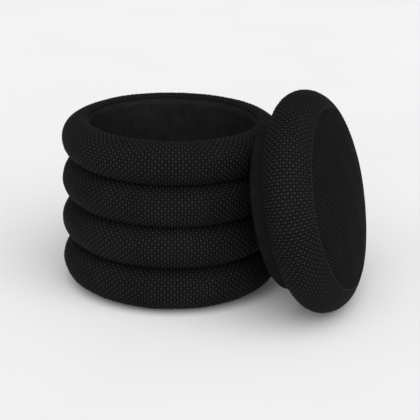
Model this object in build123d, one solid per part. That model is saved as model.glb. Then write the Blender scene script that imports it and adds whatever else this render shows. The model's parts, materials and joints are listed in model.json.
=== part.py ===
from build123d import *
import math
import os

# Round storage ottoman: four padded rings on a bent board tube, with a lift-off padded lid that
# stands on its edge and leans against the body. Millimetres, +Z up, origin on the floor at the
# middle of the body.

# Driving dimensions of the body
outer_radius = 220.0        # crest of each padded ring
groove_depth = 30.0         # how far the cover pulls in between two rings
ring_height = 84.0
top_ring_height = 79.0      # the uppermost ring is pressed a little flatter
ring_count = 4
stack_base = 5.0            # underside of the lowest ring
mouth_radius = 168.0        # inside of the storage well
mouth_roll = 9.5            # radius of the inner edge of the top ring
cloth = 2.5                 # thickness of the woven cover
lining = 1.0                # thickness of the smooth lining
tube_wall = 6.0
board = 12.0                # thickness of the base board and the lid board
board_overhang = 8.0        # base board beyond the tube
board_clear = 2.0           # room under the base board for the cover folded in there
fold_radius = 150.0         # inner edge of that folded cover
hoop_width = 19.0
hoop_height = 20.0
floor_card = 3.0
floor_slack = 0.2           # gap all round the loose floor of the well
dust_cloth = 0.7
dust_radius = 178.0

# Driving dimensions of the lid, in its own frame: axis up, z = 0 level with the underside
lid_radius = 214.8
lid_belly = 38.6            # height of the widest part of the lid's roll
roll_foot_radius = 173.0    # where the roll meets the flat underside
roll_crown_radius = 157.0   # middle of the ellipse that shapes the top of the roll
roll_drop = 39.8            # widest part down to the lowest part of the roll
roll_rise = 53.4            # widest part up to the top of that ellipse
roll_foam_gap = 1.5         # between the roll's foam and the inside of its cover
seam_radius = 176.0
piping_radius = 1.5
crown_height = 106.3        # middle of the seat
seat_foam_radius = 170.0
side_fold_radius = 138.0    # inner edge of the cover folded under the lid board
plug_radius = 164.0
plug_depth = 32.8
plug_edge = 4.0             # rounding of the plug's lower edge
plug_lining = 1.2
plug_fold_radius = 152.0    # inner edge of the lining folded over the plug

# Where the lid stands
lid_bearing = -27.1         # direction of the lid from the body's axis, degrees round from +X
lid_turn = -20.6            # direction in which the seat faces
lid_lean = 14.2             # lid's disc away from upright, degrees
lid_press = 12.5            # how far the plug's face sinks into the soft top ring
lid_gap = 0.5               # between that face and the flattened ring

# Staples
staple_crown = 11.0
staple_wire = 0.8
staple_width = 1.2
staple_leg = 9.0
base_staple_count = 30
base_staple_inset = 12.0    # from the folded cover's inner edge
base_staple_turn = 6.0      # degrees, to stay clear of the screws and nails
lid_staple_count = 28
lid_staple_inset = 6.0

# Screws
screw_head_radius = 4.0
screw_head_height = 2.6
screw_shank_radius = 2.0
base_screw_count = 6
base_screw_cover = 5.0      # wood left above a screw's tip
plug_screw_count = 6
plug_screw_circle = 110.0
plug_screw_bite = 8.0       # how far past the plug a screw reaches

# Glides
glide_radius = 12.0
glide_height = 3.5
glide_edge = 1.5
glide_count = 5
glide_circle = 132.0
nail_low = 1.2              # underside of the nail's sunk head
nail_radius = 1.2
nail_length = 14.0
nail_head_radius = 4.0
nail_head_height = 0.8

# Worked out from those
groove_radius = outer_radius - groove_depth
tube_inner = mouth_radius + lining
tube_outer = tube_inner + tube_wall
board_low = stack_base + board_clear
board_high = board_low + board
hoop_high = board_high + hoop_height
roll_hang = roll_drop - lid_belly      # how far the roll reaches below the underside plane

os.makedirs("parts", exist_ok=True)


def turned(*edges):
    """Closed outline of (radius, height) edges, turned a full circle about Z."""
    face = make_face(Plane.XZ * Curve(children=list(edges)))
    return revolve(face, Axis.Z)


def band(inner, outer, low, high):
    """Plain ring of rectangular section."""
    return turned(Polyline((inner, low), (outer, low), (outer, high), (inner, high), close=True))


def disc(radius, low, high):
    """Plain round plate."""
    return pillar(radius, low, high - low)


def pillar(radius, low, length):
    """Upright cylinder that starts at a height."""
    return Pos(0, 0, low) * Cylinder(radius, length, align=(Align.CENTER, Align.CENTER, Align.MIN))


def around(shape, count, first=0.0):
    """Copies of one shape, evenly spaced about Z, as a list."""
    return [Rot(0, 0, first + 360.0 * i / count) * shape for i in range(count)]


def without(shape, tools):
    """One shape with every tool in a list cut out of it."""
    for tool in tools:
        shape = shape - tool
    return shape


def staple(radius, crown_low):
    """Staple driven upwards: its crown lies along the circle, with a leg at each end."""
    low = (Align.CENTER, Align.CENTER, Align.MIN)
    crown = Box(staple_width, staple_crown, staple_wire, align=low)
    leg = Box(staple_width, staple_wire, staple_leg, align=low)
    reach = (staple_crown - staple_wire) / 2
    return Pos(radius, 0, crown_low) * (crown + Pos(0, reach, 0) * leg + Pos(0, -reach, 0) * leg)


def screw(radius, head_low, length):
    """Countersunk screw standing head down, at a radius from Z."""
    head = Cone(screw_head_radius, screw_shank_radius, screw_head_height,
                align=(Align.CENTER, Align.CENTER, Align.MIN))
    return Pos(radius, 0, head_low) * (head + pillar(screw_shank_radius, 0, length))


def glide_nail():
    """Nail with a flat head, sunk in its glide."""
    shank = pillar(nail_radius, nail_low, nail_length)
    return Pos(glide_circle, 0, 0) * (shank + pillar(nail_head_radius, nail_low, nail_head_height))


def glide_cap():
    """Round glide with a rounded lower edge."""
    flat = glide_radius - glide_edge
    cap = turned(
        Line((0, 0), (flat, 0)),
        CenterArc((flat, glide_edge), glide_edge, 270, 90),
        Polyline((glide_radius, glide_edge), (glide_radius, glide_height), (0, glide_height), (0, 0)))
    return Pos(glide_circle, 0, 0) * cap


def ring_arc(low, height):
    """Middle (radius, height) and radius of the arc through both grooves and the crest of a ring."""
    half = height / 2
    arc_radius = (groove_depth ** 2 + half ** 2) / (2 * groove_depth)
    return outer_radius - arc_radius, low + half, arc_radius


def inside_radius(low, height, z):
    """Radius of the cover's inner surface at a height."""
    middle_r, middle_z, arc_radius = ring_arc(low, height)
    return middle_r + math.sqrt((arc_radius - cloth) ** 2 - (z - middle_z) ** 2)


def ring_shapes(low, height, fold_inner):
    """Woven cover and foam of a ring with a groove above and below it. The cover's lower edge
    folds in as far as fold_inner, its upper edge as far as the tube."""
    high = low + height
    middle = low + height / 2
    foam_low = low + board_clear
    foam_high = high - board_clear
    groove_in = inside_radius(low, height, foam_low)
    inner_side = ThreePointArc((groove_in, foam_low), (outer_radius - cloth, middle), (groove_in, foam_high))
    cover = turned(
        ThreePointArc((groove_radius, low), (outer_radius, middle), (groove_radius, high)),
        Polyline((groove_radius, high), (tube_outer, high), (tube_outer, foam_high), (groove_in, foam_high)),
        inner_side,
        Polyline((groove_in, foam_low), (fold_inner, foam_low), (fold_inner, low), (groove_radius, low)))
    foam = turned(
        inner_side,
        Polyline((groove_in, foam_high), (tube_outer, foam_high), (tube_outer, foam_low),
                 (groove_in, foam_low)))
    return cover, foam


def top_ring_shapes(low, height):
    """Uppermost ring: it rolls over the top of the tube to the edge of the lining. Also returns
    the heights of that edge and of the tube."""
    middle_r, middle_z, arc_radius = ring_arc(low, height)
    foam_low = low + board_clear
    groove_in = inside_radius(low, height, foam_low)
    crest = middle_z + arc_radius
    crest_in = crest - cloth
    edge_r = mouth_radius + mouth_roll
    edge_z = crest - mouth_roll
    edge_in = mouth_radius + cloth
    tube_high = edge_z - lining
    inner_mouth = CenterArc((edge_r, edge_z), mouth_roll - cloth, 90, 90)
    inner_top = Line((middle_r, crest_in), (edge_r, crest_in))
    inner_side = ThreePointArc((middle_r, crest_in), (outer_radius - cloth, middle_z), (groove_in, foam_low))
    cover = turned(
        ThreePointArc((groove_radius, low), (outer_radius, middle_z), (middle_r, crest)),
        Line((middle_r, crest), (edge_r, crest)),
        CenterArc((edge_r, edge_z), mouth_roll, 90, 90),
        Line((mouth_radius, edge_z), (edge_in, edge_z)),
        inner_mouth, inner_top, inner_side,
        Polyline((groove_in, foam_low), (tube_outer, foam_low), (tube_outer, low), (groove_radius, low)))
    foam = turned(
        inner_side, inner_top, inner_mouth,
        Polyline((edge_in, edge_z), (tube_inner, edge_z), (tube_inner, tube_high),
                 (tube_outer, tube_high), (tube_outer, foam_low), (groove_in, foam_low)))
    return cover, foam, edge_z, tube_high


def build_body():
    """Every piece of the ottoman's body, by name."""
    parts = {}
    lows = [stack_base + ring_height * i for i in range(ring_count)]
    for i, low in enumerate(lows[:-1]):
        fold_inner = fold_radius if i == 0 else tube_outer
        cover, foam = ring_shapes(low, ring_height, fold_inner)
        parts[f"ring_cover_{i + 1}"] = cover
        parts[f"foam_ring_{i + 1}"] = foam
    cover, foam, edge_z, tube_high = top_ring_shapes(lows[-1], top_ring_height)
    parts[f"ring_cover_{ring_count}"] = cover
    parts[f"foam_ring_{ring_count}"] = foam

    base = disc(tube_outer + board_overhang, board_low, board_high)
    hoop = band(tube_inner - hoop_width, tube_inner, board_high, hoop_high)
    card_high = hoop_high + floor_card
    floor_radius = mouth_radius - floor_slack
    dust_high = stack_base - staple_wire
    dust = disc(dust_radius, dust_high - dust_cloth, dust_high)

    screw_length = board + hoop_height - base_screw_cover
    screws = around(screw(tube_inner - hoop_width / 2, board_low, screw_length), base_screw_count)
    staples = around(staple(fold_radius + base_staple_inset, stack_base - staple_wire),
                     base_staple_count, base_staple_turn)
    nails = around(glide_nail(), glide_count, 90.0)
    caps = around(glide_cap(), glide_count, 90.0)

    # the base board reaches out past the tube, so the lowest foam is cut round it
    parts["foam_ring_1"] = parts["foam_ring_1"] - base
    parts["ring_cover_1"] = without(parts["ring_cover_1"], staples)
    parts["base_board"] = without(base, screws + staples + nails)
    parts["lower_hoop"] = without(hoop, screws)
    parts["shell_tube"] = band(tube_inner, tube_outer, board_high, tube_high)
    parts["wall_lining"] = band(mouth_radius, tube_inner, hoop_high, edge_z)
    parts["floor_panel"] = disc(floor_radius, hoop_high, card_high)
    parts["floor_lining"] = disc(floor_radius, card_high, card_high + lining)
    parts["dust_cover"] = without(dust, nails)
    parts["base_screws"] = Compound(children=screws)
    parts["cover_staples"] = Compound(children=staples)
    parts["glide_nails"] = Compound(children=nails)
    parts["glide_caps"] = Compound(children=[cap - nail for cap, nail in zip(caps, nails)])
    return parts


def roll_side(inset, top_radius):
    """Outer side of the lid's roll, moved in by inset, from its foot up to a radius of its crown."""
    across = lid_radius - roll_crown_radius - inset
    top_angle = math.degrees(math.acos((top_radius - roll_crown_radius) / across))
    lower = EllipticalCenterArc((roll_foot_radius, lid_belly), lid_radius - roll_foot_radius - inset,
                                roll_drop - inset, start_angle=270, arc_size=90)
    upper = EllipticalCenterArc((roll_crown_radius, lid_belly), across, roll_rise - inset,
                                start_angle=0, arc_size=top_angle)
    return lower, upper


def build_lid():
    """Every piece of the lid, by name, in the lid's own frame."""
    parts = {}
    side_edge = seam_radius + piping_radius
    seat_edge = seam_radius - piping_radius
    board_bottom = cloth - roll_hang
    board_top = board_bottom + board

    outer_low, outer_up = roll_side(0, side_edge)
    inner_low, inner_up = roll_side(cloth, side_edge)
    seam_z = (outer_up @ 1).Y
    side_cover = turned(
        outer_low, outer_up, Line(outer_up @ 1, inner_up @ 1), inner_up, inner_low,
        Polyline(inner_low @ 0, (side_fold_radius, board_bottom), (side_fold_radius, -roll_hang),
                 outer_low @ 0))
    foam_low, foam_up = roll_side(cloth + roll_foam_gap, seat_foam_radius)
    parts["lid_roll_foam"] = turned(
        foam_low, foam_up,
        Polyline(foam_up @ 1, (seat_foam_radius, board_top), (roll_foot_radius, board_top), foam_low @ 0))

    # the seat is a shallow cap of a sphere, from its sewn edge up to the crown
    seat_rise = crown_height - seam_z
    seat_sphere = (seat_edge ** 2 + seat_rise ** 2) / (2 * seat_rise)

    def on_seat(radius, inset):
        height = crown_height - seat_sphere + math.sqrt((seat_sphere - inset) ** 2 - radius ** 2)
        return radius, height

    def seat_arc(radius, inset):
        return ThreePointArc(on_seat(radius, inset), on_seat(radius / 2, inset), on_seat(0, inset))

    parts["lid_seat_cover"] = turned(
        seat_arc(seat_edge, 0), Line(on_seat(0, 0), on_seat(0, cloth)),
        seat_arc(seat_edge, cloth), Line(on_seat(seat_edge, cloth), on_seat(seat_edge, 0)))
    parts["lid_seat_foam"] = turned(
        seat_arc(seat_foam_radius, cloth),
        Polyline(on_seat(0, cloth), (0, board_top), (seat_foam_radius, board_top),
                 on_seat(seat_foam_radius, cloth)))
    parts["lid_piping"] = Pos(0, 0, seam_z) * Torus(seam_radius, piping_radius)

    # the plug: a plate with a rounded lower edge, and the lining that wraps it
    skin_low = -roll_hang - plug_depth
    plate_low = skin_low + plug_lining
    plate_top = -roll_hang - plug_lining
    plate_radius = plug_radius - plug_lining
    corner_r = plug_radius - plug_edge
    corner_z = skin_low + plug_edge
    plate_corner = CenterArc((corner_r, corner_z), plug_edge - plug_lining, 270, 90)
    plate = turned(
        Line((0, plate_low), (corner_r, plate_low)), plate_corner,
        Polyline((plate_radius, corner_z), (plate_radius, plate_top), (0, plate_top), (0, plate_low)))
    parts["plug_cover"] = turned(
        Line((0, skin_low), (corner_r, skin_low)),
        CenterArc((corner_r, corner_z), plug_edge, 270, 90),
        Polyline((plug_radius, corner_z), (plug_radius, -roll_hang), (plug_fold_radius, -roll_hang),
                 (plug_fold_radius, plate_top), (plate_radius, plate_top), (plate_radius, corner_z)),
        plate_corner,
        Polyline((corner_r, plate_low), (0, plate_low), (0, skin_low)))

    screws = around(screw(plug_screw_circle, plate_low, plug_depth + plug_screw_bite), plug_screw_count)
    staples = around(staple(side_fold_radius + lid_staple_inset, -roll_hang - staple_wire), lid_staple_count)
    parts["lid_board"] = without(disc(roll_foot_radius, board_bottom, board_top), screws + staples)
    parts["lid_side_cover"] = without(side_cover, staples)
    parts["plug_board"] = without(plate, screws)
    parts["plug_screws"] = Compound(children=screws)
    parts["lid_staples"] = Compound(children=staples)
    return parts


def lid_place():
    """Stands the lid on its edge on the floor, leaning until the flat face of its plug is pressed
    into the top ring."""
    lean = math.radians(lid_lean)
    bearing = math.radians(lid_bearing)
    turn = math.radians(lid_turn)
    reach = math.hypot((lid_radius - roll_foot_radius) * math.cos(lean), roll_drop * math.sin(lean))
    height = roll_foot_radius * math.cos(lean) - lid_belly * math.sin(lean) + reach
    top_low = stack_base + ring_height * (ring_count - 1)
    ring_r, ring_z, arc_radius = ring_arc(top_low, top_ring_height)
    ring_reach = ring_r * math.cos(lean) + ring_z * math.sin(lean) + arc_radius
    off_axis = ring_reach - lid_press + plug_depth + roll_hang - height * math.sin(lean)
    distance = off_axis / (math.cos(lean) * math.cos(bearing - turn))
    spot = Pos(distance * math.cos(bearing), distance * math.sin(bearing), height)
    return spot * Rot(0, 0, lid_turn) * Rot(0, 90 - lid_lean, 0)


def press_in(cover, foam, place):
    """Top ring with the flat spot that the plug's face presses into it."""
    face_z = -roll_hang - plug_depth - lid_gap
    pressed = place * disc(plug_radius, face_z, 0)
    squeezed = place * disc(plug_radius, face_z - cloth, 0)
    return (cover - pressed) + ((foam & squeezed) - pressed), foam - squeezed


place = lid_place()
body = build_body()
top = (f"ring_cover_{ring_count}", f"foam_ring_{ring_count}")
body[top[0]], body[top[1]] = press_in(body[top[0]], body[top[1]], place)
lid = {name: place * shape for name, shape in build_lid().items()}
for name, shape in {**body, **lid}.items():
    export_step(shape, f"parts/{name}.step")
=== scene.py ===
import json
import math

import bpy
import numpy as np
from mathutils import Matrix, Vector


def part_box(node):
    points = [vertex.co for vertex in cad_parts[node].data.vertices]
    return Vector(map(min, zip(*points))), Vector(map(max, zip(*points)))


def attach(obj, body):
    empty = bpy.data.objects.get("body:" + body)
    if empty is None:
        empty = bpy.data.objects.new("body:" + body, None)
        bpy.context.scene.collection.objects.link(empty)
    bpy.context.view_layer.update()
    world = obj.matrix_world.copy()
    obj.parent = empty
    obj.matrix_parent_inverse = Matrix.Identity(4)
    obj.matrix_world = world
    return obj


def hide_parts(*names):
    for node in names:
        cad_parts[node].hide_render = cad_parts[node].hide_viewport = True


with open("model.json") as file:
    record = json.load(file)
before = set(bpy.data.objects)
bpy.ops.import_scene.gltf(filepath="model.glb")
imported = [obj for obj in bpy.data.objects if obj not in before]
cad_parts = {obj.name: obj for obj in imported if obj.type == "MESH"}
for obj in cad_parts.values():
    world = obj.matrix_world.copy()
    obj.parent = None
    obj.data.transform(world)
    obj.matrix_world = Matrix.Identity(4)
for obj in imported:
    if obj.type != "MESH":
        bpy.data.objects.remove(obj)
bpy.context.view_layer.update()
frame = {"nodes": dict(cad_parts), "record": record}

# Sizes in metres, as in the CAD model
CLOTH = 0.0025
LINING = 0.001
TOP_RING_HEIGHT = 0.079
HAIR = 0.0001                # the least gap left between two surfaces that touch
BACK = 0.0015                # inner side of a cover's folded edge, from the CAD surface
LAP = 0.002                  # the top ring's cover, down over the lining
LAP_OUT = 0.0004
RING_FOLD = 0.184            # how far in the covers meet between two rings
RING_GAP = 0.0003            # between two covers in a groove
GROOVE = 0.190
MOUTH_ROLL = 0.0095
BASE_FOLD = 0.150
LID_BELLY = 0.0386
LID_RADIUS = 0.2148
LID_FOOT = 0.173
LID_CROWN = 0.157
LID_DROP = 0.0398
LID_RISE = 0.0534
LID_SIDE_FOLD = 0.138
LID_BACK_ROWS = 6            # points to each half of the side cover's hidden inner side
SIDE_UNDER_PLUG = 0.006      # how far the side cover reaches in under the plug's edge
LID_LEAN = math.radians(14.2)
LID_TURN = math.radians(-20.6)
SEAM = 0.176
PIPING = 0.0015
SEAT_CROWN = 0.1063
PLUG_RADIUS = 0.164
PLUG_DEPTH = 0.0328
PLUG_EDGE = 0.004
PLUG_LINING = 0.0012
PLUG_FOLD = 0.152
PRESS_GAP = 0.0006           # between the plug's face and the ring it flattens
PRESS_SOFT = 0.0006          # how gently the ring bends round that flat spot

# The weave: yarns across one cell, and its relief
YARN = 0.0058                # along a profile
RING_YARNS = 218             # round a body ring
LID_YARNS = 212              # round the lid
FINE = 4                     # mesh points to a yarn
OVER = 0.0011                # how far a yarn on top stands up
WARP_OVER = 1.25             # upright yarns stand up more than the ones that run round
WEFT_OVER = 0.8
ROUNDNESS = 0.0022           # how far a yarn's sides fall away
SINK = 0.0003                # the whole weave, down from the CAD surface
DEEPEST = -0.0021            # so the foam never shows through
SHALLOWER = 0.0006           # the covers are thinner where they fold under a ring
POLE = 0.0001                # radius of the pinhole at the middle of a turned disc
EDGE_ROWS = 0.4              # rows of yarn over which the relief fades at a cover's edge
EDGE_LEAST = 0.15            # what is left of the relief right at the edge
FOLD_FROM = 0.8              # a cover counts as folded under where its normal points down more than this
UNEVEN_ROUND = 0.12          # how much the yarns' thickness varies from one to the next, round a ring
UNEVEN_UP = 0.10             # the same, up a ring
UNEVEN_MOST = 0.25
UNEVEN_TONE = 0.25           # share of that unevenness which shows as tone
INSIDE_RELIEF = 0.3          # tone of the side of the cloth that nobody sees
SEAT_UV = 200.0              # keeps the yarn numbers of the seat above zero
SEAT_HILL = 0.0011           # height of the soft hills in the seat
SEAT_CALM = 0.03             # they fade out this far from the seam
SEAT_PAINTED_SHADE = 0.68            # painted shade: the flat seat panel is darker all over, as if less light fell on it
SEAT_TURN = math.radians(-30.0)  # how far the seat's yarns are turned in the lid
# painted shade: the lining over the plug is darker all over, as if less light reached its side
PLUG_PAINTED_SHADE = 0.5

# The cloth simulation
SLEEVE_COLUMNS = 96
SLEEVE_ROW = 0.007
START_IN = 0.0025
SLEEVE_HILL = 0.0012         # height of the soft hills the sleeve starts with
CAP = 0.004                  # the furthest a point may end up from its outline
FRAMES = 20

# The smooth linings
WALL_COLUMNS = 720
WALL_ROWS = 24
LAP_SEAM = math.radians(152)
LAP_SEAM_HEIGHT = 0.0011
LAP_SEAM_WIDTH = 0.0065      # in radians round the wall
DISC_ROWS = 40
DISC_COLUMNS = 180
DISC_DIP = 0.18              # share of the cloth's thickness that its surface waves by

FLOOR_DROP = 0.0004          # the stage floor, just below the glides
UP = np.array([0.0, 0.0, 1.0])


# ---- outlines -------------------------------------------------------------------------------

def arc(middle, radii, start, end, count=60):
    """Points of an elliptical arc of (radius, height), angles in degrees."""
    turn = np.radians(np.linspace(start, end, count))
    return np.stack([middle[0] + radii[0] * np.cos(turn), middle[1] + radii[1] * np.sin(turn)], 1)


def joined(*pieces):
    """One path from several, without the doubled points where they meet."""
    path = np.concatenate([np.asarray(p, float) for p in pieces])
    keep = np.concatenate([[True], np.hypot(*np.diff(path, axis=0).T) > 1e-6])
    return path[keep]


def length(path):
    """How long a path is."""
    return float(np.hypot(*np.diff(path, axis=0).T).sum())


def even(path, count):
    """The same path as evenly spaced points."""
    along = np.concatenate([[0], np.cumsum(np.hypot(*np.diff(path, axis=0).T))])
    wanted = np.linspace(0, along[-1], count)
    return np.stack([np.interp(wanted, along, path[:, k]) for k in range(2)], 1)


def outward(path):
    """Unit normals to the right of a path that runs upwards on the outside."""
    run = np.gradient(path, axis=0)
    normal = np.stack([run[:, 1], -run[:, 0]], 1)
    return normal / np.linalg.norm(normal, axis=1, keepdims=True)


def turned(path, columns):
    """Grid of points [row, column] from an outline turned about Z, and the grid's directions."""
    turn = 2 * math.pi * np.arange(columns) / columns
    out = np.stack([np.cos(turn), np.sin(turn), 0 * turn], 1)
    return path[:, None, :1] * out[None] + path[:, None, 1:] * UP, out


def spread(values, places, loops):
    """Smooth values between evenly spaced rows; loops says that the last row joins the first."""
    low = np.floor(places).astype(int)
    t = (places - low)[:, None, None]

    def row(k):
        return values[k % len(values)] if loops else values[np.clip(k, 0, len(values) - 1)]

    a, b, c, d = (row(low + k) for k in (-1, 0, 1, 2))
    return b + t / 2 * (c - a + t * (2 * a - 5 * b + 4 * c - d + t * (3 * (b - c) + d - a)))


# ---- meshes ---------------------------------------------------------------------------------

def make_object(name, points, faces, material, body, uv=None, fields=None, place=None):
    """Mesh object with outward faces, smooth shading, a UV map and point attributes."""
    points = np.asarray(points, float).reshape(-1, 3)
    a, b, c = (points[faces[:, k]] for k in range(3))
    volume = np.einsum("ij,ij->i", a, np.cross(b, c)).sum()
    if faces.shape[1] == 4:
        d = points[faces[:, 3]]
        volume += np.einsum("ij,ij->i", a, np.cross(c, d)).sum()
    if volume < 0:
        faces = faces[:, ::-1]
        uv = None if uv is None else uv[:, ::-1]
    if place is not None:
        points = points @ np.array(place.to_3x3()).T + np.array(place.translation)
    mesh = bpy.data.meshes.new(name)
    mesh.from_pydata(points, [], faces)
    if uv is not None:
        mesh.uv_layers.new(name="yarns").data.foreach_set("uv", uv.reshape(-1).astype(np.float32))
    for field, values in (fields or {}).items():
        mesh.attributes.new(field, "FLOAT", "POINT").data.foreach_set(
            "value", np.asarray(values, np.float32).ravel())
    mesh.polygons.foreach_set("use_smooth", np.ones(len(faces), bool))
    mesh.materials.append(material)
    mesh.update()
    obj = bpy.data.objects.new(name, mesh)
    bpy.context.scene.collection.objects.link(obj)
    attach(obj, body)
    return obj


def ring_faces(rows, columns, closed):
    """Faces of a grid that joins up round its columns, and round its rows too if it is closed."""
    r = np.arange(rows if closed else rows - 1)[:, None]
    c = np.arange(columns)[None, :]
    right = (c + 1) % columns
    above = (r + 1) % rows
    corners = (r * columns + c, r * columns + right, above * columns + right, above * columns + c)
    return np.stack(corners, -1).reshape(-1, 4)


def ring_uv(along, columns, around):
    """UV of each corner of a closed grid's faces, in yarns."""
    along = np.append(along, along[-1] + 1)
    c = np.arange(columns)
    u = np.stack([c, c + 1, c + 1, c], -1)[None] * around / columns
    v = np.stack([along[:-1], along[:-1], along[1:], along[1:]], -1)[:, None]
    return np.stack(np.broadcast_arrays(u, v), -1).reshape(-1, 4, 2)


def weave(u, v):
    """Height of a plain weave above its middle, how high that is from 0 to 1, and 1 where the
    yarn on top runs along v."""
    across_u = u - np.floor(u) - 0.5
    across_v = v - np.floor(v) - 0.5
    odd_u = 1 - 2 * (np.floor(u) % 2)
    odd_v = 1 - 2 * (np.floor(v) % 2)
    warp = OVER * WARP_OVER * odd_u * np.cos(math.pi * (v - 0.5)) - ROUNDNESS * 4 * across_u ** 2
    weft = -OVER * WEFT_OVER * odd_v * np.cos(math.pi * (u - 0.5)) - ROUNDNESS * 4 * across_v ** 2
    height = np.maximum(warp, weft)
    relief = (height + ROUNDNESS) / (OVER * WARP_OVER + ROUNDNESS)
    return height, relief, (warp > weft).astype(float)


def unevenness(rows, columns, seed):
    """Soft hills and dips over a sleeve of cloth, from -1 to 1."""
    numbers = np.random.default_rng(seed)
    row = np.linspace(0, 1, rows)[:, None]
    column = 2 * math.pi * np.arange(columns)[None] / columns
    total = 0
    for turns in (2, 3, 5, 8, 13):
        phase = numbers.uniform(0, 2 * math.pi, 3)
        tilt = numbers.uniform(0.5, 2.5)
        total = total + np.sin(turns * column + phase[0] + tilt * np.sin(math.pi * row + phase[1])) \
            * np.sin(math.pi * row) * numbers.uniform(0.5, 1.0) / math.sqrt(turns)
    return total / np.abs(total).max()


def settle(name, points, held):
    """Lets a sleeve of cloth swell under pressure with its held points fixed."""
    rows, columns = points.shape[:2]
    mesh = bpy.data.meshes.new(name)
    mesh.from_pydata(points.reshape(-1, 3), [], ring_faces(rows, columns, closed=False))
    obj = bpy.data.objects.new(name, mesh)
    bpy.context.scene.collection.objects.link(obj)
    group = obj.vertex_groups.new(name="held")
    group.add([int(k) for k in np.flatnonzero(held.ravel())], 1.0, "REPLACE")
    cloth = obj.modifiers.new("Cloth", "CLOTH")
    cloth.settings.quality = 4
    cloth.settings.mass = 0.25
    cloth.settings.tension_stiffness = 25
    cloth.settings.compression_stiffness = 10
    cloth.settings.bending_stiffness = 2
    cloth.settings.use_pressure = True
    cloth.settings.uniform_pressure_force = 4
    cloth.settings.effector_weights.gravity = 0
    cloth.settings.vertex_group_mass = "held"
    cloth.point_cache.frame_start = 1
    cloth.point_cache.frame_end = FRAMES
    scene = bpy.context.scene
    for number in range(1, FRAMES + 1):
        scene.frame_set(number)
    solved = obj.evaluated_get(bpy.context.evaluated_depsgraph_get()).to_mesh()
    found = np.zeros(len(solved.vertices) * 3)
    solved.vertices.foreach_get("co", found)
    bpy.data.objects.remove(obj)
    bpy.data.meshes.remove(mesh)
    scene.frame_set(1)
    return found.reshape(rows, columns, 3)


def sleeve_offsets(name, path, seed):
    """How unevenly a relaxed sleeve of cloth lies round its turned outline: a coarse grid of
    (outwards, upwards) moves. Each row's average is taken out, so the outline stays the CAD's."""
    rows = max(8, int(length(path) / SLEEVE_ROW))
    coarse = even(path, rows)
    base, out = turned(coarse, SLEEVE_COLUMNS)
    normal = outward(coarse)
    direction = normal[:, None, :1] * out[None] + normal[:, None, 1:] * UP
    hills = unevenness(rows, SLEEVE_COLUMNS, seed) * SLEEVE_HILL
    start_in = START_IN * np.sin(math.pi * np.linspace(0, 1, rows))[:, None]
    held = np.zeros((rows, SLEEVE_COLUMNS), bool)
    held[[0, -1]] = True
    moved = settle(name, base + (hills - start_in)[..., None] * direction, held)
    move = moved - base
    outwards = np.einsum("rci,ci->rc", move, out)
    moves = np.stack([outwards, move[..., 2]], -1)
    moves -= moves.mean(axis=1, keepdims=True)
    size = np.linalg.norm(moves, axis=-1, keepdims=True)
    return moves * np.minimum(1, CAP / np.maximum(size, 1e-9))


def woven_sleeve(name, path, back, yarns, seed, body, place=None, bend=None):
    """Closed woven cover: an outer path that carries the weave, and a plain path back inside.
    bend changes the finished points."""
    rows = max(2, round(length(path) / YARN))
    columns = yarns * FINE
    fine = even(path, rows * FINE + 1)
    base, out = turned(fine, columns)
    normal = outward(fine)
    moves = sleeve_offsets(name, path, seed)
    moves = spread(moves, np.linspace(0, len(moves) - 1, len(fine)), loops=False)
    moves = spread(moves.transpose(1, 0, 2), np.arange(columns) * SLEEVE_COLUMNS / columns, loops=True)
    moves = moves.transpose(1, 0, 2)

    v = np.arange(len(fine))[:, None] / FINE
    u = np.arange(columns)[None] / FINE
    height, relief, warp = weave(u + 0 * v, v + 0 * u)
    round_yarns = np.random.default_rng(seed + 100).standard_normal(yarns)
    up_yarns = np.random.default_rng(seed + 200).standard_normal(rows + 1)
    stout = 1 + UNEVEN_ROUND * round_yarns[np.arange(columns) // FINE][None]
    wide = 1 + UNEVEN_UP * up_yarns[np.arange(len(fine)) // FINE][:, None]
    height = height * np.clip(stout * wide, 1 - UNEVEN_MOST, 1 + UNEVEN_MOST)
    from_edge = np.minimum(v, v[-1] - v) / EDGE_ROWS
    fade = np.clip(from_edge, EDGE_LEAST, 1)
    swell = moves[..., 0] * normal[:, None, 0] + moves[..., 1] * normal[:, None, 1]
    under = np.clip((-normal[:, None, 1] - FOLD_FROM) / (1 - FOLD_FROM), 0, 1)
    along = np.maximum(height * fade - SINK, DEEPEST + SHALLOWER * under - swell)
    points = base + (moves[..., :1] + along[..., None] * normal[:, None, :1]) * out[None]
    points[..., 2] += moves[..., 1] + along * normal[:, None, 1]

    inside, _ = turned(np.asarray(back, float), columns)
    points = np.concatenate([points, inside])
    if bend is not None:
        points = bend(points)
    extra = len(inside)
    relief = np.concatenate([relief, np.full((extra, columns), INSIDE_RELIEF)])
    warp = np.concatenate([warp, np.zeros((extra, columns))])
    tone = 1 + UNEVEN_TONE * (stout - 1) + UNEVEN_TONE * (wide - 1)
    shade = np.concatenate([tone, np.ones((extra, columns))])
    along_v = np.concatenate([v[:, 0], v[-1, 0] + 1 + np.arange(extra)])
    uv = ring_uv(along_v, columns, yarns)
    faces = ring_faces(len(points), columns, closed=True)
    fields = {"relief": relief, "warp": warp, "shade": shade}
    return make_object(name, points, faces, woven, body, uv, fields, place)


def plain_sleeve(name, path, columns, material, body, waver, shade=1.0, place=None):
    """Closed smooth piece from a closed outline turned about Z. waver gives how far each point
    moves out and up, and shade darkens the whole piece as painted shade."""
    points, out = turned(np.asarray(path, float), columns)
    move_out, move_up = waver(points)
    points = points + move_out[..., None] * out[None]
    points[..., 2] += move_up
    along = np.concatenate([[0], np.cumsum(np.hypot(*np.diff(path, axis=0).T))])
    uv = ring_uv(along * 10, columns, 10)
    faces = ring_faces(len(points), columns, closed=True)
    fields = {"shade": np.full(points.shape[:2], shade)}
    return make_object(name, points, faces, material, body, uv, fields, place)


# ---- materials ------------------------------------------------------------------------------

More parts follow.
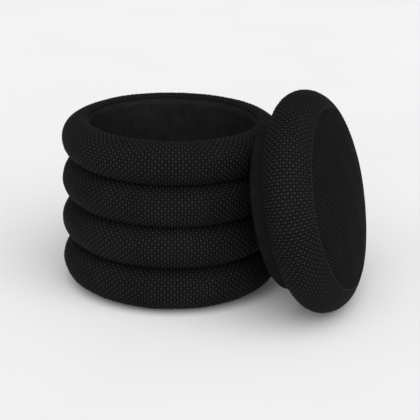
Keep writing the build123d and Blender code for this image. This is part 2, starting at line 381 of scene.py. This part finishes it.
class Nodes:
    """Node tree of a new material, with short ways to add and join nodes."""

    def __init__(self, name):
        self.material = bpy.data.materials.new(name)
        self.material.use_nodes = True
        self.tree = self.material.node_tree
        self.tree.nodes.clear()
        self.shader = self.add("ShaderNodeBsdfPrincipled")
        output = self.add("ShaderNodeOutputMaterial")
        self.join(self.shader, "BSDF", output, "Surface")

    def add(self, kind, **values):
        node = self.tree.nodes.new(kind)
        for key, value in values.items():
            if hasattr(node, key):
                setattr(node, key, value)
            else:
                node.inputs[key.replace("_", " ")].default_value = value
        return node

    def join(self, source, output, target, name):
        self.tree.links.new(source.outputs[output], target.inputs[name])

    def set(self, **values):
        for key, value in values.items():
            self.shader.inputs[key.replace("_", " ")].default_value = value

    def coordinates(self, output="Object", scale=(1, 1, 1)):
        source = self.add("ShaderNodeTexCoord")
        mapping = self.add("ShaderNodeMapping")
        mapping.inputs["Scale"].default_value = scale
        self.join(source, output, mapping, "Vector")
        return mapping

    def noise(self, mapping, scale, detail=4.0, roughness=0.6):
        node = self.add("ShaderNodeTexNoise", Scale=scale, Detail=detail, Roughness=roughness)
        self.join(mapping, "Vector", node, "Vector")
        return node

    def ramp(self, source, output, stops):
        node = self.add("ShaderNodeValToRGB")
        ramp = node.color_ramp
        while len(ramp.elements) < len(stops):
            ramp.elements.new(0.5)
        for element, (position, colour) in zip(ramp.elements, stops):
            element.position = position
            element.color = (*colour, 1)
        self.join(source, output, node, "Fac")
        return node

    def mix(self, kind, factor, a, b):
        """Mix of two colours; each of a and b is (node, output) or a colour."""
        node = self.add("ShaderNodeMix")
        node.data_type = "RGBA"
        node.blend_type = kind
        if isinstance(factor, tuple):
            self.tree.links.new(factor[0].outputs[factor[1]], node.inputs[0])
        else:
            node.inputs[0].default_value = factor
        for socket, value in ((6, a), (7, b)):
            if isinstance(value[0], bpy.types.Node):
                self.tree.links.new(value[0].outputs[value[1]], node.inputs[socket])
            else:
                node.inputs[socket].default_value = (*value, 1)
        return node

    def bump(self, source, output, strength, distance, before=None):
        node = self.add("ShaderNodeBump", Strength=strength, Distance=distance)
        self.join(source, output, node, "Height")
        if before is not None:
            self.join(before, "Normal", node, "Normal")
        self.join(node, "Normal", self.shader, "Normal")
        return node


def grey(value, blue=1.07):
    """Grey with the faint blue of the black cloth."""
    return (value, value, value * blue)


def woven_material():
    """Woven cloth: painted highlight on top of the yarns, painted shade between them, upright yarns
    painted lighter than those running round, fibres along each yarn.
    """
    n = Nodes("woven_cloth")
    relief = n.add("ShaderNodeAttribute", attribute_name="relief")
    warp = n.add("ShaderNodeAttribute", attribute_name="warp")
    shade = n.add("ShaderNodeAttribute", attribute_name="shade")
    # painted light: yarns running upright are made lighter as if lit, and those running round darker as if
    # shaded
    warp_lit_weft_shaded = n.ramp(warp, "Fac", [(0.0, (0.62, 0.62, 0.62)), (1.0, (1.15, 1.15, 1.15))])
    # painted shade in the gaps between the yarns and painted highlight on their crests, picked from the
    # relief height
    gap_shade_crest_highlight = n.ramp(relief, "Fac", [(0.0, grey(0.0006)), (0.35, grey(0.0020)), (0.55, grey(0.0060)),
                                   (0.72, grey(0.0122)), (1.0, grey(0.0195))])
    cloth = n.mix("MULTIPLY", 1.0, (gap_shade_crest_highlight, "Color"), (warp_lit_weft_shaded, "Color"))
    patches = n.noise(n.coordinates(), 9.0, 3.0)
    worn = n.ramp(patches, "Fac", [(0.3, (0.82, 0.82, 0.82)), (0.7, (1.12, 1.12, 1.12))])
    yarn = n.mix("MULTIPLY", 1.0, (cloth, 2), (worn, "Color"))
    # the shade attribute brings in the yarns' uneven tone and, on the seat, painted shade
    yarn_tone_and_painted_shade = n.mix("MULTIPLY", 1.0, (yarn, 2), (shade, "Color"))
    n.join(yarn_tone_and_painted_shade, 2, n.shader, "Base Color")
    along_u = n.noise(n.coordinates("UV", (2.0, 16.0, 1.0)), 1.6, 3.0)
    along_v = n.noise(n.coordinates("UV", (16.0, 2.0, 1.0)), 1.6, 3.0)
    fibres = n.mix("MIX", (warp, "Fac"), (along_u, "Color"), (along_v, "Color"))
    n.bump(fibres, 2, 0.55, 0.0004)
    rough = n.ramp(fibres, 2, [(0.3, (0.5, 0.5, 0.5)), (0.7, (0.68, 0.68, 0.68))])
    n.join(rough, "Color", n.shader, "Roughness")
    n.set(Specular_IOR_Level=0.03)
    return n.material


def piping_material():
    """Narrow bias-cut cloth round the piping cord."""
    n = Nodes("piping_cloth")
    fibres = n.noise(n.coordinates("UV", (60.0, 6.0, 1.0)), 3.0, 4.0)
    colour = n.ramp(fibres, "Fac", [(0.3, grey(0.008)), (0.75, grey(0.018))])
    n.join(colour, "Color", n.shader, "Base Color")
    n.bump(fibres, "Fac", 0.6, 0.0003)
    n.set(Roughness=0.6, Specular_IOR_Level=0.04)
    return n.material


def lining_material(name, base, fibre_scale):
    """Smooth non-woven cloth: short random fibres pressed flat, faintly mottled."""
    n = Nodes(name)
    place = n.coordinates()
    mottle = n.noise(place, 55.0, 5.0, 0.65)
    cloud = n.noise(place, 7.0, 2.0)
    fine = n.ramp(mottle, "Fac", [(0.3, grey(base * 0.72)), (0.7, grey(base * 1.25))])
    broad = n.ramp(cloud, "Fac", [(0.3, (0.85, 0.85, 0.85)), (0.7, (1.12, 1.12, 1.12))])
    colour = n.mix("MULTIPLY", 1.0, (fine, "Color"), (broad, "Color"))
    # the shade attribute darkens the plug's wrap as painted shade; on the other linings it is 1
    shade = n.add("ShaderNodeAttribute", attribute_name="shade")
    with_painted_shade = n.mix("MULTIPLY", 1.0, (colour, 2), (shade, "Color"))
    n.join(with_painted_shade, 2, n.shader, "Base Color")
    fibres = n.noise(place, fibre_scale, 6.0, 0.7)
    first = n.bump(fibres, "Fac", 0.35, 0.0006)
    n.bump(mottle, "Fac", 0.25, 0.0015, first)
    rough = n.ramp(mottle, "Fac", [(0.3, (0.7, 0.7, 0.7)), (0.7, (0.86, 0.86, 0.86))])
    n.join(rough, "Color", n.shader, "Roughness")
    n.set(Specular_IOR_Level=0.04)
    return n.material


def chip_material(name, dark, light, scale):
    """Pressed board: flattened chips in several tones."""
    n = Nodes(name)
    place = n.coordinates("Object", (1.0, 1.0, 3.0))
    chips = n.add("ShaderNodeTexVoronoi", Scale=scale)
    n.join(place, "Vector", chips, "Vector")
    dust = n.noise(place, scale * 3, 5.0, 0.7)
    tone = n.mix("MIX", 0.45, (chips, "Color"), (dust, "Color"))
    colour = n.ramp(tone, 2, [(0.25, dark), (0.7, light)])
    n.join(colour, "Color", n.shader, "Base Color")
    n.bump(dust, "Fac", 0.4, 0.0005)
    n.set(Roughness=0.8)
    return n.material


def grain_material(name, dark, light):
    """Wood with its grain lying flat."""
    n = Nodes(name)
    place = n.coordinates("Object", (1.0, 1.0, 14.0))
    grain = n.noise(place, 26.0, 6.0, 0.65)
    colour = n.ramp(grain, "Fac", [(0.32, dark), (0.68, light)])
    n.join(colour, "Color", n.shader, "Base Color")
    n.bump(grain, "Fac", 0.3, 0.0004)
    n.set(Roughness=0.65)
    return n.material


def foam_material():
    """Pale open-celled foam, yellowed in patches."""
    n = Nodes("foam")
    place = n.coordinates()
    cells = n.add("ShaderNodeTexVoronoi", Scale=420.0)
    n.join(place, "Vector", cells, "Vector")
    age = n.noise(place, 12.0, 3.0)
    colour = n.ramp(age, "Fac", [(0.3, (0.72, 0.66, 0.5)), (0.7, (0.86, 0.82, 0.7))])
    n.join(colour, "Color", n.shader, "Base Color")
    n.bump(cells, "Distance", 0.7, 0.0008)
    n.set(Roughness=0.95)
    return n.material


def metal_material():
    """Brushed steel."""
    n = Nodes("steel")
    brush = n.noise(n.coordinates("Object", (1.0, 1.0, 8.0)), 180.0, 5.0)
    colour = n.ramp(brush, "Fac", [(0.3, (0.5, 0.5, 0.51)), (0.7, (0.68, 0.68, 0.7))])
    rough = n.ramp(brush, "Fac", [(0.3, (0.28, 0.28, 0.28)), (0.7, (0.45, 0.45, 0.45))])
    n.join(colour, "Color", n.shader, "Base Color")
    n.join(rough, "Color", n.shader, "Roughness")
    n.bump(brush, "Fac", 0.15, 0.0002)
    n.set(Metallic=1.0)
    return n.material


def plastic_material():
    """Dark moulded plastic with scuffs."""
    n = Nodes("glide_plastic")
    place = n.coordinates()
    scuffs = n.noise(place, 130.0, 5.0, 0.7)
    colour = n.ramp(scuffs, "Fac", [(0.3, grey(0.02)), (0.75, grey(0.045))])
    rough = n.ramp(scuffs, "Fac", [(0.3, (0.4, 0.4, 0.4)), (0.7, (0.6, 0.6, 0.6))])
    n.join(colour, "Color", n.shader, "Base Color")
    n.join(rough, "Color", n.shader, "Roughness")
    n.bump(scuffs, "Fac", 0.2, 0.0003)
    return n.material


def floor_material():
    """Plain pale studio floor."""
    n = Nodes("floor")
    haze = n.noise(n.coordinates(), 1.5, 2.0)
    colour = n.ramp(haze, "Fac", [(0.3, (0.86, 0.86, 0.86)), (0.7, (0.89, 0.89, 0.89))])
    n.join(colour, "Color", n.shader, "Base Color")
    n.set(Roughness=0.9, Specular_IOR_Level=0.2)
    return n.material


woven = woven_material()
piping_cloth = piping_material()
lining_cloth = lining_material("lining_cloth", 0.0135, 900.0)
dust_cloth = lining_material("dust_cloth", 0.016, 600.0)
kept = {
    "board": chip_material("board", (0.3, 0.19, 0.1), (0.62, 0.47, 0.3), 160.0),
    "hoop_wood": grain_material("hoop_wood", (0.42, 0.26, 0.12), (0.72, 0.54, 0.33)),
    "card": chip_material("card", (0.16, 0.1, 0.06), (0.3, 0.21, 0.13), 420.0),
    "foam": foam_material(),
    "steel": metal_material(),
    "glide_plastic": plastic_material(),
}


# ---- the body -------------------------------------------------------------------------------

def ring_arc(low, height):
    """Middle (radius, height), radius and half angle of the arc of one ring's side, through both
    grooves and the crest."""
    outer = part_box("ring_cover_1")[1].x
    half = height / 2
    deep = outer - GROOVE
    radius = (deep ** 2 + half ** 2) / (2 * deep)
    return (outer - radius, low + half), radius, math.degrees(math.asin(half / radius))


def flatten(points):
    """Presses the top ring back behind the flat face of the lid's plug, gently at its edges."""
    place = lid_frame()
    axis = np.array(place.to_3x3().col[2])
    face = LID_BELLY - LID_DROP - PLUG_DEPTH - PRESS_GAP
    past = (points - np.array(place.translation)) @ axis - face
    kept_past = (past - np.sqrt(past ** 2 + PRESS_SOFT ** 2)) / 2
    return points + (kept_past - past)[..., None] * axis


def body_ring(number):
    """Woven cover of one ring with a groove above and below it."""
    low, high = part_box(f"ring_cover_{number}")[0].z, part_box(f"ring_cover_{number}")[1].z
    middle, radius, swing = ring_arc(low, high - low)
    fold = BASE_FOLD if number == 1 else RING_FOLD
    path = joined([(fold, low + RING_GAP)], arc(middle, (radius, radius), 1 - swing, swing - 1),
                  [(RING_FOLD, high - RING_GAP)])
    back = [(RING_FOLD - 0.001, high - BACK), (RING_FOLD - 0.001, low + BACK)]
    if number == 1:
        back.append((BASE_FOLD, low + BACK))
    return woven_sleeve(f"woven_ring_{number}", path, back, RING_YARNS, number, "ottoman")


def top_ring():
    """Woven cover of the uppermost ring, which rolls over into the mouth and laps the lining."""
    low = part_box("ring_cover_4")[0].z
    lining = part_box("wall_lining")[1]
    mouth = lining.x - LINING
    middle, radius, swing = ring_arc(low, TOP_RING_HEIGHT)
    edge_r = mouth + MOUTH_ROLL
    crest_in = middle[1] + radius - CLOTH
    path = joined([(RING_FOLD, low + RING_GAP)], arc(middle, (radius, radius), 1 - swing, 90),
                  arc((edge_r, lining.z), (MOUTH_ROLL, MOUTH_ROLL), 90, 180, 30),
                  [(mouth - LAP_OUT, lining.z - LAP)])
    back = [(mouth + LAP_OUT, lining.z - LAP), (mouth + LAP_OUT, lining.z),
            (mouth + CLOTH, lining.z + 0.001), (edge_r, crest_in), (middle[0], crest_in),
            (RING_FOLD, low + BACK)]
    return woven_sleeve("woven_ring_4", path, back, RING_YARNS, 4, "ottoman", bend=flatten)


def body_rings():
    """The four woven covers of the body."""
    covers = {number: body_ring(number) for number in (1, 2, 3)}
    covers[4] = top_ring()
    for number, cover in covers.items():
        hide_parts(f"ring_cover_{number}")


def wall_piece():
    """Lining of the well's wall, with faint dimples and one lapped seam."""
    low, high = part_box("wall_lining")
    inner = high.x - LINING
    top, bottom = high.z, low.z

    def waver(points):
        turn = np.arctan2(points[..., 1], points[..., 0])
        tall = np.clip((points[..., 2] - bottom) / (top - bottom), 0, 1)
        inside = (np.hypot(points[..., 0], points[..., 1]) < inner + LINING * 0.3).astype(float)
        dimple = 0.0004 * np.sin(5 * turn + 2 * tall) + 0.0003 * np.sin(11 * turn - 3 * tall)
        seam = LAP_SEAM_HEIGHT * np.exp(-((turn - LAP_SEAM) / LAP_SEAM_WIDTH) ** 2)
        return -inside * (np.abs(dimple) + seam), 0 * turn

    inside = np.stack([np.full(WALL_ROWS, inner), np.linspace(bottom, top, WALL_ROWS)], 1)
    path = np.concatenate([inside, [(high.x - HAIR, top), (high.x - HAIR, bottom)]])
    wall = plain_sleeve("well_lining", path, WALL_COLUMNS, lining_cloth, "ottoman", waver)
    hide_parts("wall_lining")


def disc_piece(name, node, material):
    """Flat disc of cloth whose upper side waves a little."""
    low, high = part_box(node)
    radius = high.x
    thick = high.z - low.z
    steps = np.linspace(POLE, radius, DISC_ROWS)
    top_rows = np.stack([steps, np.full(DISC_ROWS, high.z)], 1)
    path = np.concatenate([top_rows, top_rows[::-1] - [0, thick]])

    def soften(points):
        turn = np.arctan2(points[..., 1], points[..., 0])
        far = np.hypot(points[..., 0], points[..., 1]) / radius
        dip = thick * DISC_DIP * (1 + np.sin(4 * turn + 6 * far) * np.sin(math.pi * far))
        upper = points[..., 2] > (low.z + high.z) / 2
        return 0 * turn, np.where(upper, -dip, 0)

    disc = plain_sleeve(name, path, DISC_COLUMNS, material, "ottoman", soften)
    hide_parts(node)


def lining_pieces():
    """Lining of the well, and the cloth that closes the underside."""
    wall_piece()
    disc_piece("well_floor", "floor_lining", lining_cloth)
    disc_piece("underside_cloth", "dust_cover", dust_cloth)


# ---- the lid --------------------------------------------------------------------------------

def lid_frame():
    """Matrix from the lid's own frame, axis up, to its leaning place."""
    low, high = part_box("lid_piping")
    seam_z = seam_height()
    turned_by = Matrix.Rotation(LID_TURN, 4, "Z") @ Matrix.Rotation(math.pi / 2 - LID_LEAN, 4, "Y")
    middle = (low + high) / 2 - (turned_by @ Vector((0, 0, seam_z)))
    return Matrix.Translation(middle) @ turned_by


def crown_angle():
    """Angle at which the lid's roll ends, at the piping."""
    return math.degrees(math.acos((SEAM + PIPING - LID_CROWN) / (LID_RADIUS - LID_CROWN)))


def seam_height():
    """Height of the piped seam in the lid's own frame."""
    return LID_BELLY + LID_RISE * math.sin(math.radians(crown_angle()))


def lid_pieces():
    """Everything soft on the lid: side, seat, piping and plug."""
    place = lid_frame()
    hang = LID_DROP - LID_BELLY
    path = joined([(PLUG_RADIUS - SIDE_UNDER_PLUG, -hang)],
                  arc((LID_FOOT, LID_BELLY), (LID_RADIUS - LID_FOOT, LID_DROP), 270, 360),
                  arc((LID_CROWN, LID_BELLY), (LID_RADIUS - LID_CROWN, LID_RISE), 0, crown_angle()))
    inner = arc((LID_CROWN, LID_BELLY), (LID_RADIUS - LID_CROWN - CLOTH, LID_RISE - CLOTH),
                crown_angle(), 0, LID_BACK_ROWS)
    under = arc((LID_FOOT, LID_BELLY), (LID_RADIUS - LID_FOOT - CLOTH, LID_DROP - CLOTH),
                360, 270, LID_BACK_ROWS)
    back = np.concatenate([inner, under[1:],
                           [(LID_SIDE_FOLD, -hang + 0.0022), (LID_SIDE_FOLD, -hang + 2 * HAIR)]])
    side = woven_sleeve("woven_lid_side", path, back, LID_YARNS, 21, "lid", place=place)
    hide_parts("lid_side_cover")

    seat_panel(place)
    piping(place)
    plug_wrap(place)


def dome(radius, edge, top, crown):
    """Height of a shallow cap of a sphere: top at its edge, crown in the middle."""
    rise = crown - top
    sphere = (edge ** 2 + rise ** 2) / (2 * rise)
    return crown - sphere + np.sqrt(sphere ** 2 - radius ** 2)


def seat_grid(edge):
    """Square grid of points, as (x, y, on the rim), and its faces, cut to a circle."""
    step = YARN / FINE
    half = int(edge / step) + 2
    axis = np.arange(-half, half + 1) * step
    x, y = np.meshgrid(axis, axis, indexing="ij")
    inside = np.hypot(x, y) < edge - step * 0.3
    number = np.arange(x.size).reshape(x.shape)
    corners = (number[:-1, :-1], number[1:, :-1], number[1:, 1:], number[:-1, 1:])
    faces = np.stack(corners, -1).reshape(-1, 4)
    faces = faces[inside.ravel()[faces].any(1)]
    used, faces = np.unique(faces, return_inverse=True)
    return x.ravel()[used], y.ravel()[used], ~inside.ravel()[used], faces.reshape(-1, 4)


def seat_panel(place):
    """Flat panel of cloth over the seat: its yarns run straight across, cut to a circle."""
    edge = SEAM - PIPING
    seam_z = seam_height()
    x, y, rim, faces = seat_grid(edge)
    u, v = x / YARN + SEAT_UV, y / YARN + SEAT_UV
    height, relief, warp = weave(u, v)
    pull = np.where(rim, edge / np.hypot(x, y), 1)
    x, y = x * pull, y * pull
    far = np.hypot(x, y)
    room = np.clip(edge - far, 0, None)
    hills = SEAT_HILL * np.sin(9 * x / edge + 1.3) * np.sin(7 * y / edge) * np.clip(room / SEAT_CALM, 0, 1)
    fade = np.clip(room / (EDGE_ROWS * YARN), EDGE_LEAST, 1)
    z = dome(far, edge, seam_z, SEAT_CROWN) + hills + np.maximum(height * fade - SINK, DEEPEST - hills)
    top = np.stack([x, y, z], 1)

    # the inner side follows the crown in a few coarse rings that shrink to one point
    rim_loop = np.flatnonzero(rim)
    rim_loop = rim_loop[np.argsort(np.arctan2(y[rim_loop], x[rim_loop]))]
    size = len(rim_loop)
    layers = [top]
    loop = rim_loop
    for share in (1.0, 0.75, 0.5, 0.25, 0.01):
        layer = top[rim_loop] * share
        layer[:, 2] = dome(np.hypot(layer[:, 0], layer[:, 1]), edge, seam_z, SEAT_CROWN) - CLOTH
        inner_loop = sum(len(done) for done in layers) + np.arange(size)
        layers.append(layer)
        strip = np.stack([loop, inner_loop, np.roll(inner_loop, -1), np.roll(loop, -1)], -1)
        faces = np.concatenate([faces, strip])
        loop = inner_loop
    points = np.concatenate(layers)
    extra = len(points) - len(top)
    relief = np.concatenate([relief, np.full(extra, INSIDE_RELIEF)])
    warp = np.concatenate([warp, np.zeros(extra)])
    uv_point = np.concatenate([np.stack([u, v], 1), np.full((extra, 2), SEAT_UV)])
    # the seat's shade attribute darkens the whole panel as painted shade
    fields = {"relief": relief, "warp": warp, "shade": np.full(len(points), SEAT_PAINTED_SHADE)}
    seat = make_object("woven_lid_seat", points, faces, woven, "lid", uv_point[faces], fields,
                       place @ Matrix.Rotation(SEAT_TURN, 4, "Z"))
    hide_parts("lid_seat_cover")


def piping(place):
    """Sewn edge round the seat: a thin rolled ridge with a twist to it."""
    columns, sides = 880, 12
    turn = 2 * math.pi * np.arange(columns) / columns
    side = 2 * math.pi * np.arange(sides) / sides
    twist = 1 + 0.10 * np.cos(2 * side[:, None] - 220 * turn[None]) \
        + 0.05 * np.sin(9 * turn)[None] + 0.04 * np.sin(23 * turn)[None]
    radius = SEAM + PIPING * twist * np.cos(side)[:, None]
    height = seam_height() + PIPING * twist * np.sin(side)[:, None] + 0.0003 * np.sin(5 * turn)[None]
    points = np.stack([radius * np.cos(turn), radius * np.sin(turn), height], -1)
    uv = ring_uv(np.arange(sides) / sides, columns, 10)
    faces = ring_faces(sides, columns, closed=True)
    cord = make_object("woven_piping", points, faces, piping_cloth, "lid", uv, None, place)
    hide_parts("lid_piping")


def plug_wrap(place):
    """Lining pulled over the plug: soft edge, faint pull marks down its side."""
    hang = LID_DROP - LID_BELLY
    low = -hang - PLUG_DEPTH
    corner = arc((PLUG_RADIUS - PLUG_EDGE, low + PLUG_EDGE), (PLUG_EDGE, PLUG_EDGE), 270, 360, 10)
    inner = PLUG_RADIUS - PLUG_LINING
    face = np.stack([np.linspace(POLE, PLUG_RADIUS - PLUG_EDGE, 36), np.full(36, low)], 1)
    top = -hang - 2 * HAIR
    outside = joined(face, corner, even(np.array([corner[-1], (PLUG_RADIUS, top)]), 8), [(PLUG_FOLD, top)])
    inside = joined([(PLUG_FOLD, -hang - PLUG_LINING), (inner, -hang - PLUG_LINING)],
                    arc((PLUG_RADIUS - PLUG_EDGE, low + PLUG_EDGE),
                        (PLUG_EDGE - PLUG_LINING, PLUG_EDGE - PLUG_LINING), 360, 270, 6),
                    [(POLE, low + PLUG_LINING)])
    path = np.concatenate([outside, inside])

    def waver(points):
        turn = np.arctan2(points[..., 1], points[..., 0])
        far = np.hypot(points[..., 0], points[..., 1]) / PLUG_RADIUS
        on_side = np.clip((far - 0.9) / 0.1, 0, 1)
        pulls = 0.00035 * (np.sin(31 * turn) + np.sin(47 * turn + 1)) * on_side
        swell = 0.0004 * np.sin(5 * turn + 3 * far) * np.sin(math.pi * np.clip(far, 0, 1))
        outer = np.zeros(points.shape[:2])
        outer[:len(outside) - 1] = 1
        return -np.abs(pulls) * outer, np.abs(swell) * outer

    # the wrap is darkened all over as painted shade
    wrap = plain_sleeve("plug_wrap", path, 480, lining_cloth, "lid", waver, PLUG_PAINTED_SHADE, place)
    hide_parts("plug_cover")


body_rings()
lining_pieces()
lid_pieces()

slots = {s["node"]: s["material_slot"] for s in frame["record"]["subparts"]}
for node, obj in frame["nodes"].items():
    if slots[node] in kept and not obj.hide_render:
        if len(obj.data.materials) == 0:
            obj.data.materials.append(kept[slots[node]])
        for material_slot in obj.material_slots:
            material_slot.material = kept[slots[node]]


# ---- stage, light, camera -------------------------------------------------------------------

def stage_floor():
    """Wide pale floor, which isn't part of the object."""
    size = 6.0
    corners = [(-size, -size, 0), (size, -size, 0), (size, size, 0), (-size, size, 0)]
    mesh = bpy.data.meshes.new("floor")
    mesh.from_pydata(corners, [], [(0, 1, 2, 3)])
    mesh.materials.append(floor_material())
    obj = bpy.data.objects.new("floor", mesh)
    obj.location.z = -FLOOR_DROP
    bpy.context.scene.collection.objects.link(obj)


def soft_sun(name, towards, spread_angle, strength):
    """Even light from a wide patch of sky in one direction."""
    light = bpy.data.lights.new(name, "SUN")
    light.angle = math.radians(spread_angle)
    light.energy = strength
    obj = bpy.data.objects.new(name, light)
    obj.rotation_euler = (-Vector(towards)).to_track_quat("-Z", "Y").to_euler()
    bpy.context.scene.collection.objects.link(obj)


def world_light(strength):
    """Even white light from all round."""
    world = bpy.data.worlds.new("studio")
    world.use_nodes = True
    world.node_tree.nodes["Background"].inputs["Color"].default_value = (1, 1, 1, 1)
    world.node_tree.nodes["Background"].inputs["Strength"].default_value = strength
    bpy.context.scene.world = world


def photo_camera():
    """Camera at the picture's angle: it looks past the body's middle from a little above."""
    target = Vector((0, 0, 0.160))
    distance = 2.453
    elevation = math.radians(19.54)
    yaw = math.radians(1.92)
    dip = elevation + math.radians(0.44)
    roll = math.radians(1.21)
    data = bpy.data.cameras.new("camera")
    data.sensor_width = 36.0
    data.lens = 103.2
    data.clip_start = 0.05
    data.clip_end = 50.0
    camera = bpy.data.objects.new("camera", data)
    forward = Vector((math.sin(yaw) * math.cos(dip), math.cos(yaw) * math.cos(dip), -math.sin(dip)))
    right = Vector((math.cos(yaw), -math.sin(yaw), 0))
    above = right.cross(forward)
    right, above = (right * math.cos(roll) + above * math.sin(roll),
                    above * math.cos(roll) - right * math.sin(roll))
    place = Matrix((right, above, -forward)).transposed().to_4x4()
    place.translation = target + Vector((0, -math.cos(elevation), math.sin(elevation))) * distance
    camera.matrix_world = place
    bpy.context.scene.collection.objects.link(camera)
    bpy.context.scene.camera = camera


stage_floor()
world_light(0.4)
soft_sun("key", (0.15, -1.0, 0.9), 100, 3.0)
photo_camera()
bpy.context.scene.view_settings.view_transform = "Standard"
